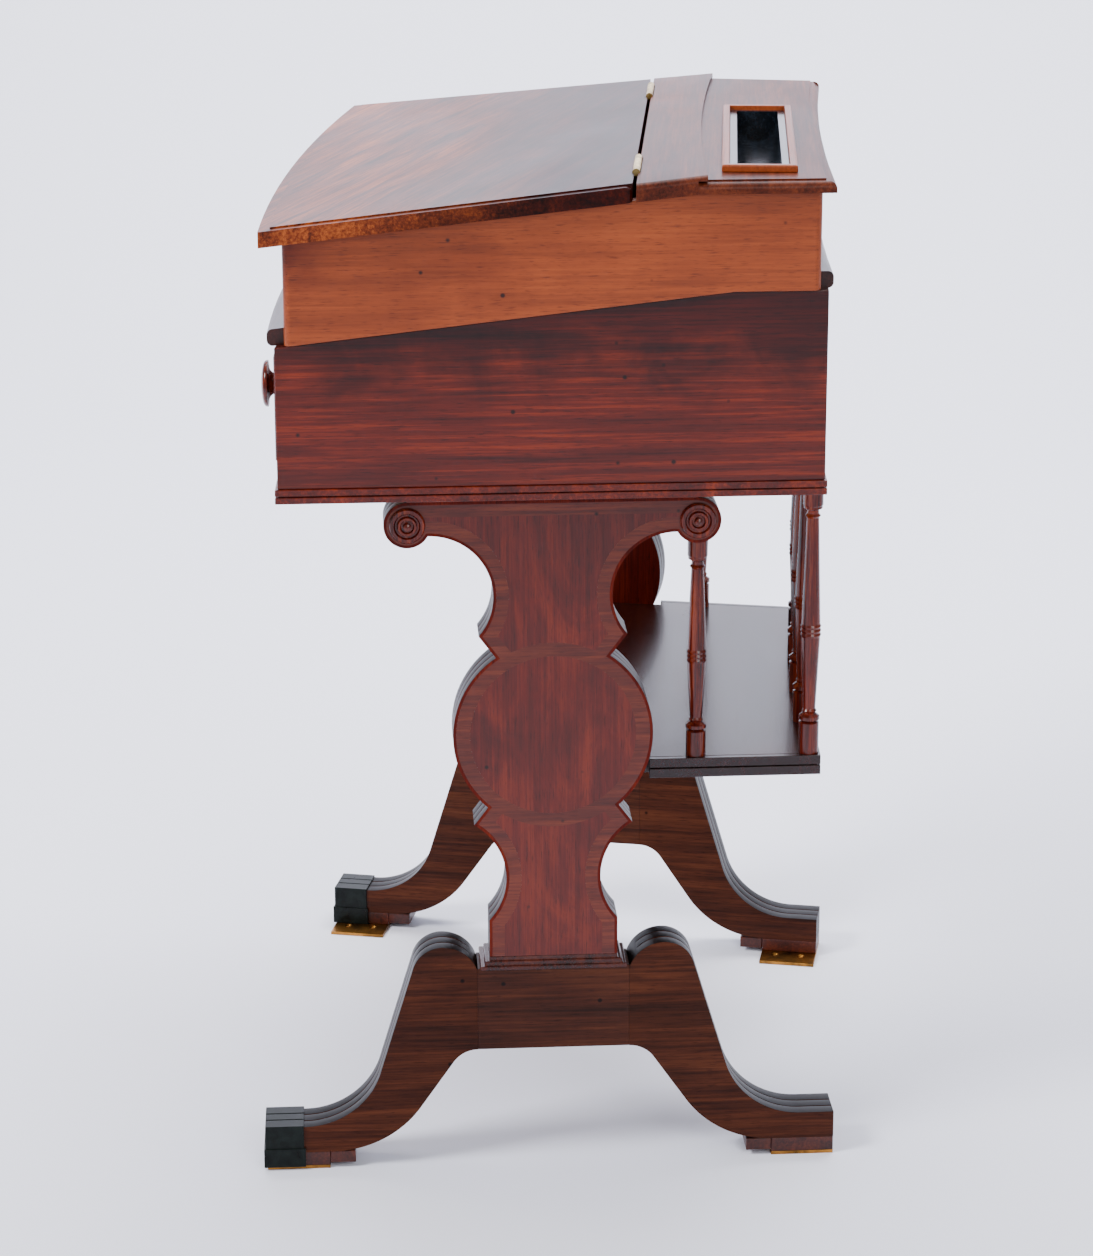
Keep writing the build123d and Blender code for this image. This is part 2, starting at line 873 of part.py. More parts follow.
def make_sleeve():
    """The metal sleeve over a front toe, with a collar round its foot."""
    left, right = -front_toe - sleeve_wall, -front_toe - sleeve_wall + sleeve_length
    upper = rectangle(left, right, plate_thickness, toe_top + sleeve_wall)
    sleeve = end_solid(upper, trestle_inset - sleeve_wall, trestle_thickness + 2 * sleeve_wall)
    grow = sleeve_wall + collar_proud
    collar = rectangle(left - collar_proud, right + collar_proud, plate_thickness, plate_thickness + collar_height)
    sleeve += end_solid(collar, trestle_inset - grow, trestle_thickness + 2 * grow)
    inner = rectangle(-front_toe, right + 2 * collar_proud, 0, toe_top)
    sleeve -= end_solid(inner, trestle_inset, trestle_thickness)
    skin = rectangle(left, right, toe_top, toe_top + sleeve_wall)
    for cutter in reed_grooves(Pos(0, sleeve_wall / 2) * skin, trestle_inset, trestle_thickness):
        sleeve -= cutter
    return sleeve


def toe_blocks(toe, side):
    """The long block under a toe and the short one behind it."""
    long_face = rectangle(toe - block_long, toe, plate_thickness, toe_under)
    short_right = toe - block_long - block_gap
    short_face = rectangle(
        short_right - block_short, short_right, plate_thickness + short_block_lift, toe_under
    )
    faces = (turned_to(side, long_face), turned_to(side, short_face))
    return [end_solid(face, trestle_inset, trestle_thickness) for face in faces]


def plate_holes(toe, side):
    """Hole centres of a floor plate, as planes that look up."""
    inset = trestle_inset + trestle_thickness + plate_reach - plate_hole_margin
    places = []
    for offset_along in (-plate_hole_spacing / 2, plate_hole_spacing / 2):
        along = side * (toe - block_long / 2) + offset_along
        spot = end_plane(inset).from_local_coords(Vector(along, 0, 0))
        places.append(spot)
    return places


def make_floor_plate(toe, side):
    """A brass plate under a foot, with two countersunk holes inside the desk."""
    face = turned_to(side, rectangle(toe - block_long, toe, 0, plate_thickness))
    plate = end_solid(face, trestle_inset, trestle_thickness + plate_reach)
    for spot in plate_holes(toe, side):
        plate -= Pos(spot.X, spot.Y, 0) * Cylinder(plate_hole_radius, 4 * plate_thickness)
        sink = Cone(plate_hole_radius, plate_hole_radius + plate_sink, plate_sink)
        plate -= Pos(spot.X, spot.Y, plate_thickness - plate_sink / 2) * sink
    return plate


# ---- shelf ----
def shelf_plan(margin, front):
    """The shelf's wide part, in by a margin."""
    return plan(front, shelf_rear - margin, shelf_inset + margin, 0, rear_spindle_hollow)


def make_shelf():
    inner = trestle_inset + trestle_thickness
    narrow = plan(shelf_front, shelf_step, inner, shelf_bow, 0)
    wide = shelf_plan(edging_width, shelf_step)
    return slab(narrow + wide, shelf_top - shelf_thickness, shelf_top)


def make_shelf_edging():
    """Two beads round the shelf's ends and rear."""
    low = shelf_top - shelf_thickness
    ring = shelf_plan(0, shelf_step) - shelf_plan(edging_width, shelf_step - 1)
    skin = shelf_plan(0, shelf_step - 1) - shelf_plan(reed_depth, shelf_step - 2)
    middle = (low + shelf_top) / 2
    return slab(ring, low, shelf_top) - slab(skin, middle - reed_gap / 2, middle + reed_gap / 2)


def make_shelf_cleat():
    """A batten on a trestle's inner face, under the shelf's end."""
    inset = trestle_inset + trestle_thickness
    strip = end_strip(shelf_front + 10, shelf_step - 14, inset, shelf_cleat_depth)
    return slab(strip, shelf_top - shelf_thickness - shelf_cleat_height, shelf_top - shelf_thickness)


def spindle(low, high):
    """A turned spindle: drum, cup, ringed vase and drum."""
    tall = high - low
    big = spindle_radius
    drum = 0.11 * tall
    cup = low + drum + 6
    beads = low + 0.42 * tall
    neck = high - drum - 12
    with BuildSketch(Plane.XZ) as section:
        with BuildLine():
            Polyline(
                (0, low), (big - 0.4, low), (big - 0.4, low + drum), (big - 3, low + drum + 1.5),
                (big, low + drum + 3), (big, cup), (big - 3.6, cup + 3), (big - 2.6, cup + 5),
                (big - 3.8, cup + 7),
            )
            Spline((big - 3.8, cup + 7), (big - 2.4, (cup + beads) / 2), (big - 0.8, beads))
            Polyline(
                (big - 0.8, beads), (big, beads + 2), (big - 0.8, beads + 4), (big, beads + 6),
                (big - 0.8, beads + 8), (big, beads + 10), (big - 0.8, beads + 12),
            )
            Spline((big - 0.8, beads + 12), (big - 1.4, beads + 30), (big - 3.8, neck))
            Polyline(
                (big - 3.8, neck), (big - 2.4, neck + 2), (big - 4, neck + 4), (big - 4, neck + 7),
                (big - 1, neck + 9), (big - 1, neck + 11), (big - 0.4, neck + 12), (big - 0.4, high),
                (0, high), (0, low),
            )
        make_face()
    return revolve(section.sketch, Axis.Z)


def make_front_spindle():
    """Stands at the shelf's end and tucks under the trestle's scroll."""
    x = half_width(front_spindle_line, shelf_inset + spindle_inset)
    scroll = Pos(scroll_centre[0], scroll_centre[1]) * Circle(scroll_radius)
    turned = Pos(x, front_spindle_line, 0) * spindle(shelf_top, scroll_centre[1] - scroll_radius + 2)
    return turned - end_solid(scroll, trestle_inset, trestle_thickness)


def make_rear_spindle(index):
    half = half_width(rear_spindle_line, shelf_inset + spindle_inset)
    x = -half + 2 * half * index / (rear_spindles - 1)
    y, turn = arc_depth(x, rear_spindle_line, half, rear_spindle_hollow)
    return Pos(x, y, 0) * spindle(shelf_top, case_base)


# ---- the whole desk ----
def build_top():
    rear_board = make_rear_board()
    save("lid", make_lid())
    save("fixed_strip", make_strip())
    save("rear_board", rear_board)
    save("pen_tray_frame", make_tray_frame())
    save("pen_tray", make_tray())
    fixed, moving, pins = hinge_pieces()
    save("hinge_leaves_fixed", fixed)
    save("hinge_leaves_lid", moving)
    save("hinge_pins", pins)


def build_box():
    save_pair("box_cheek", make_cheek())
    save("box_front", box_wall(box_front, box_front + box_board, front_bow))
    save("box_back", box_wall(box_rear - box_board, box_rear, rear_hollow))
    save("hinge_rail", make_hinge_rail())
    save("writing_board", make_writing_board())


def build_case():
    save_pair("case_side", make_case_side())
    save("case_back", make_case_back())
    save("lower_rail", make_rail(level(case_floor), level(case_floor + lower_rail_height)))
    save("upper_rail", make_rail(level(drawer_top + drawer_play), profile(board_under, board_knee)))
    save("base_moulding", make_base_moulding())
    save("case_bottom", make_case_bottom())
    (left_runner, left_guide), (right_runner, right_guide) = make_runners()
    save("drawer_runners", [left_runner, right_runner])
    save("drawer_guides", [left_guide, right_guide])


def build_drawer():
    save("drawer_front", make_drawer_front())
    save("drawer_side_left", make_drawer_side(-1))
    save("drawer_side_right", make_drawer_side(1))
    save("drawer_back", make_drawer_back())
    save("drawer_bottom", make_drawer_bottom())
    save_both("drawer_knobs", make_knob(knob_spread))


def build_ends():
    panel, fields, bands = make_trestle()
    save_pair("trestle_panel", panel)
    save_pair("field_veneer", fields)
    save_pair("crossbanding", bands)
    save_both("scroll_bosses", make_bosses())
    save_both("top_cleats", make_top_cleat())
    save_pair("plinth_moulding", make_plinth())


def build_feet():
    rail, dowels = make_foot_rail(), make_dowels()
    legs = {"front": make_leg(front_toe, -1), "rear": make_leg(rear_toe, 1)}
    for peg in dowels:
        rail -= peg
        legs = {name: leg - peg for name, leg in legs.items()}
    save_pair("foot_rail", rail)
    save_both("leg_dowels", dowels)
    save_pair("toe_sleeve", make_sleeve())
    for name, toe, side in (("front", front_toe, -1), ("rear", rear_toe, 1)):
        save_pair(name + "_leg", legs[name])
        save_both(name + "_toe_blocks", toe_blocks(toe, side))
        save_pair(name + "_floor_plate", make_floor_plate(toe, side))


def build_shelf():
    save("shelf", make_shelf())
    save("shelf_edging", make_shelf_edging())
    save_both("shelf_cleats", make_shelf_cleat())
    save_both("front_spindles", make_front_spindle())
    save("rear_spindles", [make_rear_spindle(index) for index in range(rear_spindles)])


build_top()
build_box()
build_case()
build_drawer()
build_ends()
build_feet()
build_shelf()
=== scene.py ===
import json
from math import cos, radians, sin

import bmesh
import bpy
from mathutils import Matrix, Vector


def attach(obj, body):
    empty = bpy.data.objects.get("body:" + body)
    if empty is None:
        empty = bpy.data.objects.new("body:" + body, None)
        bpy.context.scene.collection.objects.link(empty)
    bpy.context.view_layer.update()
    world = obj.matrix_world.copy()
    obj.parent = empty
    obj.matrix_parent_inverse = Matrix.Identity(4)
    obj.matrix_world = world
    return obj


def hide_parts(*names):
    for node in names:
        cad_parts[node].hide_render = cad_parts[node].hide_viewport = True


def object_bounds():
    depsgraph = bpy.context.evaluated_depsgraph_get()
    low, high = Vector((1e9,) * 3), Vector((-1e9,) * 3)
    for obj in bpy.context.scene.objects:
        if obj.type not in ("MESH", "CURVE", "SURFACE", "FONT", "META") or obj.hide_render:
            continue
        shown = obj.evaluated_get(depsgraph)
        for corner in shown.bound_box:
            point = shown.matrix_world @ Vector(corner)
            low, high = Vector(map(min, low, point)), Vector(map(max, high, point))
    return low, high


# %% [markdown]
# The desk arrives as a fixed frame of named timber and metal pieces, all at their real
# places in metres. Its box is noted at once, because nothing added later may grow it.

# %% Load the frame
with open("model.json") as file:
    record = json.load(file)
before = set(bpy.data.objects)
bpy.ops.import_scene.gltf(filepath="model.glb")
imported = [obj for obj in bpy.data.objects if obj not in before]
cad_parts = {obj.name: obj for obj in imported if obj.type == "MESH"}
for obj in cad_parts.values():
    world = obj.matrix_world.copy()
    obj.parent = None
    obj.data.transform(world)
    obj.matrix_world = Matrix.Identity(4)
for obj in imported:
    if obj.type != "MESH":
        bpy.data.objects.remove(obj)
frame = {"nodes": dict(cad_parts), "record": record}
cad_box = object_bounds()
nodes = frame["nodes"]
low_corner, high_corner = Vector(cad_box[0]), Vector(cad_box[1])
print("desk", [round(side, 3) for side in high_corner - low_corner])

# %% [markdown]
# Sizes are easier to read in millimetres, and both ends of this desk lean in by the same
# angle. The directions out of the two ends, and up, front and rear, turn up in later steps.

# %% Units and the end directions
MM = 0.001
END_LEAN = radians(6.7)
OUT = {
    "right": Vector((cos(END_LEAN), sin(END_LEAN), 0)),
    "left": Vector((-cos(END_LEAN), sin(END_LEAN), 0)),
}
UP, FRONT, REAR = Vector((0, 0, 1)), Vector((0, -1, 0)), Vector((0, 1, 0))
print("right end faces", [round(part, 3) for part in OUT["right"]])

# %% [markdown]
# Paint charts and photo editors give colours as sRGB hex values, but a shader adds light in
# linear units. One function turns the one into the other.


# %% Colour from a hex value
def colour(hex_value):
    channels = [int(hex_value[i : i + 2], 16) / 255 for i in (1, 3, 5)]
    linear = [c / 12.92 if c <= 0.04045 else ((c + 0.055) / 1.055) ** 2.4 for c in channels]
    return (*linear, 1.0)


# %% [markdown]
# Every finish here is a short chain of nodes. One small function adds a node, sets its
# sockets and its settings, and links what feeds it, so a material reads from top to bottom.


# %% Add one node
def add(material, kind, settings=(), **sockets):
    tree = material.node_tree
    node = tree.nodes.new(kind)
    for key, value in dict(settings).items():
        setattr(node, key, value)
    for key, value in sockets.items():
        name = key.replace("_", " ")
        socket = node.inputs[int(name[1:])] if name[1:].isdigit() else node.inputs[name]
        if isinstance(value, bpy.types.NodeSocket):
            tree.links.new(value, socket)
        else:
            socket.default_value = value
    return node


# %% [markdown]
# A colour ramp needs its stops set one by one, and a fresh material comes with a shader and
# an output already joined. Two helpers hide both chores.


# %% Ramps and blank materials
def ramp(material, factor, stops):
    node = add(material, "ShaderNodeValToRGB", Fac=factor)
    for place, value in stops[2:]:
        node.color_ramp.elements.new(place)
    for element, (place, value) in zip(node.color_ramp.elements, stops):
        element.position = place
        element.color = value
    return node.outputs["Color"]


def blank(name):
    material = bpy.data.materials.new(name)
    material.use_nodes = True
    return material, material.node_tree.nodes["Principled BSDF"]


# %% [markdown]
# Wood grain is long in one direction and narrow in the other two. A Mapping node of the
# TEXTURE kind first turns the pattern to lie along the board, then divides by the real size
# of the figure, so its scale is simply millimetres.


# %% Noise laid along a board
def grain(material, turn, length, width, detail, wander):
    place = add(material, "ShaderNodeTexCoord").outputs["Object"]
    size = (length * MM, width * MM, width * MM)
    settings = {"vector_type": "TEXTURE"}
    laid = add(material, "ShaderNodeMapping", settings, Vector=place, Rotation=turn, Scale=size)
    noise = add(
        material, "ShaderNodeTexNoise", Vector=laid.outputs[0], Scale=1.0, Detail=detail,
        Roughness=0.6, Distortion=wander,
    )
    return noise.outputs["Fac"]


# %% [markdown]
# French-polished Cuban mahogany is most of the desk. It has a broad, cloudy figure, a fine
# stripe, and short dark pores that the polish doesn't quite fill. The same recipe serves
# each board with its own tones, grain direction and gloss. Real pores are 0.3 mm wide; here
# they are drawn about three times as coarse, so that they show at all. Patina darkens it in
# patches, wax fills its old holes, and a tint may darken one end of a board; on the case top
# and on the box cheek under the lid that tint is painted shade.

# %% French-polished mahogany
PORE_LENGTH, PORE_WIDTH = 14, 0.9
STRIPE_LENGTH, STRIPE_WIDTH = 110, 2.6
HOLE_SPACING, HOLE_RADIUS = 34, 2.6       # old nail holes and knots, stopped with dark wax
CLOUD_SHARE, STRIPE_SHARE = 0.55, 0.45
PATINA_LENGTH, PATINA_WIDTH = 300, 170
DARKENING_WANDER = 60                         # how far the edge of a darkening strays


def maths(material, operation, first, second):
    node = add(material, "ShaderNodeMath", {"operation": operation}, _0=first, _1=second)
    return node.outputs[0]


def blend(material, kind, factor, first, second):
    settings = {"data_type": "RGBA", "blend_type": kind}
    node = add(material, "ShaderNodeMix", settings, _0=factor, _6=first, _7=second)
    return node.outputs[2]


def wood_colour(material, tones, turn, figure):
    cloudy = grain(material, turn, figure[0], figure[1], 5.0, figure[2])
    stripe = grain(material, turn, STRIPE_LENGTH, STRIPE_WIDTH, 3.0, 0.3)
    cloud_share = maths(material, "MULTIPLY", cloudy, CLOUD_SHARE)
    stripe_share = maths(material, "MULTIPLY", stripe, STRIPE_SHARE)
    figure_value = maths(material, "ADD", cloud_share, stripe_share)
    stops = [(0.36, colour(tones[0])), (0.50, colour(tones[1])), (0.64, colour(tones[2]))]
    base = ramp(material, figure_value, stops)
    pores = grain(material, turn, PORE_LENGTH, PORE_WIDTH, 2.0, 0.0)
    dark = ramp(material, pores, [(0.30, (0.30, 0.24, 0.22, 1)), (0.43, (1, 1, 1, 1))])
    patina = grain(material, turn, PATINA_LENGTH, PATINA_WIDTH, 4.0, 0.8)
    age = ramp(material, patina, [(0.32, (0.66, 0.58, 0.56, 1)), (0.56, (1, 1, 1, 1))])
    place = add(material, "ShaderNodeTexCoord").outputs["Object"]
    spots = add(material, "ShaderNodeTexVoronoi", Vector=place, Scale=1 / (HOLE_SPACING * MM))
    reach = HOLE_RADIUS / HOLE_SPACING
    hole_stops = [(0.5 * reach, (0.1, 0.07, 0.06, 1)), (reach, (1, 1, 1, 1))]
    holes = ramp(material, spots.outputs["Distance"], hole_stops)
    worn = blend(material, "MULTIPLY", 1.0, base, holes)
    spotted = blend(material, "MULTIPLY", 0.8, worn, dark)
    return blend(material, "MULTIPLY", 0.85, spotted, age), pores, patina


def darkened_along(material, wood, towards, start, end, tint):
    """Darken the wood by a tint that comes in between two distances along a direction; under an
    overhang it is painted shade.
    """
    place = add(material, "ShaderNodeTexCoord").outputs["Object"]
    far = add(material, "ShaderNodeVectorMath", {"operation": "DOT_PRODUCT"}, _0=place, _1=towards)
    uneven = grain(material, (0, 0, 0), 90, 60, 3.0, 0.6)
    stray = DARKENING_WANDER * MM
    wander = add(material, "ShaderNodeMapRange", Value=uneven, To_Min=-stray, To_Max=stray)
    moved = maths(material, "ADD", far.outputs["Value"], wander.outputs[0])
    share = add(
        material, "ShaderNodeMapRange", {"interpolation_type": "SMOOTHSTEP"},
        Value=moved, From_Min=start * MM, From_Max=end * MM,
    )
    return blend(material, "MULTIPLY", share.outputs[0], wood, colour(tint))


def polish(material, shader, pores, patina, gloss):
    spread = add(
        material, "ShaderNodeMapRange", Value=patina, To_Min=gloss - 0.05, To_Max=gloss + 0.09,
    )
    bump = add(material, "ShaderNodeBump", Strength=0.18, Distance=0.2 * MM, Height=pores)
    links = material.node_tree.links
    links.new(spread.outputs[0], shader.inputs["Roughness"])
    links.new(bump.outputs[0], shader.inputs["Normal"])
    shader.inputs["Coat Weight"].default_value = 0.12
    shader.inputs["Coat Roughness"].default_value = 0.08
    shader.inputs["Specular IOR Level"].default_value = 0.3


def mahogany(name, tones, turn, figure=(320, 34, 0.9), gloss=0.34, gradients=()):
    material, shader = blank(name)
    wood, pores, patina = wood_colour(material, tones, turn, figure)
    for gradient in gradients:
        wood = darkened_along(material, wood, *gradient)
    material.node_tree.links.new(wood, shader.inputs["Base Color"])
    polish(material, shader, pores, patina, gloss)
    return material


# %% [markdown]
# The reeded edges of the trestles and feet were stained nearly black. Their sheen is kept
# low here, or a pale room would show in them and turn them grey. The finish can tell edges
# from faces by the surface's own direction: a face looks straight out of the desk's end, and
# an edge doesn't.


# %% Mahogany with ebonised edges
def edged_mahogany(name, tones, turn, out, figure=(260, 30, 0.9), gloss=0.36):
    material, shader = blank(name)
    wood, pores, patina = wood_colour(material, tones, turn, figure)
    normal = add(material, "ShaderNodeTexCoord").outputs["Normal"]
    facing = add(
        material, "ShaderNodeVectorMath", {"operation": "DOT_PRODUCT"}, _0=normal, _1=out,
    ).outputs["Value"]
    flat = maths(material, "ABSOLUTE", facing, 0.0)
    face = ramp(material, flat, [(0.80, (0, 0, 0, 1)), (0.97, (1, 1, 1, 1))])
    stained = blend(material, "MULTIPLY", 1.0, wood, colour("#3a3234"))
    toned = blend(material, "MIX", face, stained, wood)
    material.node_tree.links.new(toned, shader.inputs["Base Color"])
    polish(material, shader, pores, patina, gloss)
    shader.inputs["Coat Weight"].default_value = 0.0
    shader.inputs["Specular IOR Level"].default_value = 0.1
    return material


# %% [markdown]
# The metals are few. The hinges and floor plates are brass that has been handled and
# walked past for a century, and the toe sleeves are japanned iron, a dark baked varnish.


# %% Brass and japanned iron
def aged_brass(name, bright, dull, grit):
    material, shader = blank(name)
    cloud = grain(material, (0, 0, 0), grit * 4, grit * 3, 5.0, 0.6)
    links = material.node_tree.links
    metal = ramp(material, cloud, [(0.35, colour(dull)), (0.62, colour(bright))])
    links.new(metal, shader.inputs["Base Color"])
    rough = add(material, "ShaderNodeMapRange", Value=cloud, To_Min=0.5, To_Max=0.24)
    links.new(rough.outputs[0], shader.inputs["Roughness"])
    scratch = grain(material, (0, 0, 0.4), 18, 0.8, 2.0, 0.0)
    bump = add(material, "ShaderNodeBump", Strength=0.2, Distance=0.1 * MM, Height=scratch)
    links.new(bump.outputs[0], shader.inputs["Normal"])
    shader.inputs["Metallic"].default_value = 1.0
    return material


def japanned_iron(name):
    material, shader = blank(name)
    cloud = grain(material, (0, 0, 0), 16, 12, 5.0, 0.5)
    links = material.node_tree.links
    varnish = ramp(material, cloud, [(0.35, colour("#070a09")), (0.65, colour("#141b19"))])
    links.new(varnish, shader.inputs["Base Color"])
    rough = add(material, "ShaderNodeMapRange", Value=cloud, To_Min=0.2, To_Max=0.42)
    links.new(rough.outputs[0], shader.inputs["Roughness"])
    bump = add(material, "ShaderNodeBump", Strength=0.3, Distance=0.3 * MM, Height=cloud)
    links.new(bump.outputs[0], shader.inputs["Normal"])
    shader.inputs["Specular IOR Level"].default_value = 0.12
    return material


# %% [markdown]
# A board's grain runs along its length. Four directions cover the desk: across it, along an
# end, up a post, and the slanting figure of the lid, which was cut from a broad flitch.

# %% Grain directions
ACROSS = (0, 0, 0)
LID_SLANT = (0, 0, radians(-16))
ALONG_END = {"right": (0, 0, radians(90) + END_LEAN), "left": (0, 0, radians(90) - END_LEAN)}
UPRIGHT = (0, radians(90), 0)

# %% [markdown]
# The parts differ in age and polish. The top is brown and faded, the writing box under it
# is newer and more orange, the case is deep red, and the feet are the darkest.

# %% The desk's timbers
TOP_TONES = ("#2c120c", "#6e3018", "#a45426")
STRIP_TONES = ("#30140e", "#522214", "#6e341c")
BOX_TONES = ("#74300f", "#8c3d15", "#9c481c")
CASE_TONES = ("#360904", "#561306", "#80290b")
VENEER_TONES = ("#3c0a04", "#521006", "#681e0a")
BAND_TONES = ("#42120a", "#581c0c", "#6e2c14")
FOOT_TONES = ("#240f07", "#3e1c0f", "#562c18")
SHELF_TONES = ("#1a0908", "#30120e", "#441e16")
TURNED_TONES = ("#220706", "#561408", "#84300f")
EDGING_TONES = ("#120809", "#241011", "#34181a")
PLINTH_TONES = ("#1c0605", "#3a0e07", "#4e1c0c")
BLOCK_TONES = ("#260c08", "#42180f", "#5a2614")
PINE_TONES = ("#8a6238", "#a87c4c", "#c09464")
LACQUER_TONES = ("#06080c", "#0c1118", "#18202a")

# The lid is darkened towards its rear.
LID_REAR_DARKENING = [(REAR, -200, 30, "#74483c")]
# The case is darkened towards its front bottom, and near its top by painted shade under the overhanging
# writing box.
CASE_DARKENING_AND_SHADE = [(FRONT - UP, -470, -330, "#4a2420"), (UP, 710, 790, "#8a5a4c")]
# The box cheek is darkened towards its front top by painted shade under the lid.
BOX_PAINTED_SHADE = [(FRONT + UP, 990, 1100, "#a87c64")]
CASE_FIGURE, BOX_FIGURE, BAND_FIGURE = (360, 22, 0.8), (380, 40, 0.5), (90, 9, 0.4)

lid_wood = mahogany("polished_mahogany_lid", TOP_TONES, LID_SLANT, (420, 44, 1.5), 0.32, LID_REAR_DARKENING)
strip_wood = mahogany("polished_mahogany_top", STRIP_TONES, ACROSS, (300, 40, 1.0), 0.34)
case_wood, box_wood, band_wood, trestle_wood, foot_wood, rail_wood = {}, {}, {}, {}, {}, {}
for side in OUT:
    along, out = ALONG_END[side], OUT[side]
    name = "polished_mahogany_case_" + side
    case_wood[side] = mahogany(name, CASE_TONES, along, CASE_FIGURE, 0.28, CASE_DARKENING_AND_SHADE)
    name = "polished_mahogany_box_" + side
    box_wood[side] = mahogany(name, BOX_TONES, along, BOX_FIGURE, 0.4, BOX_PAINTED_SHADE)
    band_wood[side] = mahogany("crossbanding_veneer_" + side, BAND_TONES, along, BAND_FIGURE, 0.3)
    trestle_wood[side] = edged_mahogany("ebonised_edge_trestle_" + side, VENEER_TONES, UPRIGHT, out)
    name = "ebonised_edge_foot_" + side
    foot_wood[side] = edged_mahogany(name, FOOT_TONES, along, out, (240, 20, 0.7))
    name = "polished_mahogany_rail_" + side
    rail_wood[side] = mahogany(name, FOOT_TONES, along, (240, 20, 0.5), 0.36)
front_wood = mahogany("polished_mahogany_front", CASE_TONES, ACROSS, (330, 26, 0.9), 0.3)
board_wood = mahogany("polished_mahogany_board", SHELF_TONES, ACROSS, (330, 26, 0.9), 0.3)
box_front_wood = mahogany("polished_mahogany_box_front", BOX_TONES, ACROSS, (380, 40, 0.5), 0.36)
field_wood = mahogany("flame_mahogany_veneer", VENEER_TONES, UPRIGHT, (150, 60, 2.2), 0.3)
shelf_wood = mahogany("polished_mahogany_shelf", SHELF_TONES, ACROSS, (330, 34, 0.7), 0.24)
edging_wood = mahogany("ebonised_mahogany_edging", EDGING_TONES, ACROSS, (240, 20, 0.6), 0.2)
turned_wood = mahogany("turned_mahogany", TURNED_TONES, UPRIGHT, (160, 10, 0.5), 0.2)
plinth_wood = mahogany("plinth_mahogany", PLINTH_TONES, ACROSS, (160, 20, 0.8), 0.24)
block_wood = mahogany("toe_block_mahogany", BLOCK_TONES, ACROSS, (120, 20, 0.8), 0.4)
RUBBED_SHEEN = 0.13                       # hands and cloths have taken the gloss off these
for rubbed in (lid_wood, strip_wood, rail_wood["right"], rail_wood["left"]):
    rubbed_shader = rubbed.node_tree.nodes["Principled BSDF"]
    rubbed_shader.inputs["Specular IOR Level"].default_value = RUBBED_SHEEN
    rubbed_shader.inputs["Coat Weight"].default_value = 0.0
pale_wood = mahogany("bare_pine", PINE_TONES, ALONG_END["right"], (300, 16, 0.5), 0.6)
lacquer = mahogany("black_lacquered_wood", LACQUER_TONES, ACROSS, (120, 30, 0.6), 0.16)
hinge_brass = aged_brass("handled_brass", "#e2c98c", "#8d733c", 4)
plate_brass = aged_brass("walked_on_brass", "#b07a3a", "#45331c", 9)
sleeve_iron = japanned_iron("japanned_iron")

# %% [markdown]
# Each frame piece takes its finish by name. Names that end in a side take that side's grain,
# and what is left over is the deep red case timber.

# %% Which piece has which finish
FINISH = {
    "lid": lid_wood, "fixed_strip": strip_wood, "rear_board": strip_wood,
    "pen_tray_frame": box_front_wood, "pen_tray": lacquer, "hinge_leaves": hinge_brass,
    "hinge_pins": hinge_brass, "box_cheek": box_wood, "box_front": box_front_wood,
    "box_back": box_front_wood, "hinge_rail": box_front_wood, "writing_board": board_wood,
    "case_side": case_wood, "case_back": front_wood, "case_bottom": pale_wood,
    "drawer_side": pale_wood, "drawer_back": pale_wood, "drawer_bottom": pale_wood,
    "drawer_runners": pale_wood, "drawer_guides": pale_wood, "drawer_knobs": turned_wood,
    "field_veneer": field_wood, "crossbanding": band_wood, "trestle_panel": trestle_wood,
    "scroll_bosses": turned_wood, "plinth_moulding": plinth_wood, "foot_rail": rail_wood,
    "front_leg": foot_wood, "rear_leg": foot_wood, "leg_dowels": pale_wood,
    "toe_sleeve": sleeve_iron, "front_toe_blocks": block_wood, "rear_toe_blocks": block_wood,
    "shelf_edging": edging_wood,
    "front_floor_plate": plate_brass, "rear_floor_plate": plate_brass, "shelf": shelf_wood,
    "front_spindles": turned_wood, "rear_spindles": turned_wood,
}


def finish_of(name):
    for start in sorted(FINISH, key=len, reverse=True):
        if name.startswith(start):
            choice = FINISH[start]
            end = "left" if name.endswith("left") else "right"
            return choice[end] if isinstance(choice, dict) else choice
    return front_wood


for name, piece in nodes.items():
    piece.data.materials.clear()
    piece.data.materials.append(finish_of(name))
print("finishes on", len(nodes), "pieces")

# %% [markdown]
# No edge on old furniture is truly sharp: planes, polish and hands round it, and that
# rounding is what catches the light. A frame piece can't be changed, so a copy stands for
# it. The copy's loose triangles are joined, its flat faces are made whole, and a Bevel
# modifier rounds what is sharper than a set angle. Reeds are rounded much wider, and before
# that, because a modifier would be held back by the narrow grooves between them.

# %% Rounded copies of the sharp-edged pieces
SHARP = radians(32)
REEDED = ("front_leg", "rear_leg", "trestle_panel")
REED_ROUND, REED_STEPS, UNDERSIDE = 2.3, 4, -0.2


def round_reeds(mesh, width):
    """Round the outer edges of the reeds, but leave the underside of a foot crisp."""
    crests = []
    for edge in mesh.edges:
        convex = edge.is_manifold and edge.calc_face_angle_signed() > SHARP
        if convex and min(face.normal.z for face in edge.link_faces) > UNDERSIDE:
            crests.append(edge)
    bmesh.ops.bevel(
        mesh, geom=crests, offset=width * MM, segments=REED_STEPS, profile=0.5, affect="EDGES",
        clamp_overlap=True, material=-1,
    )


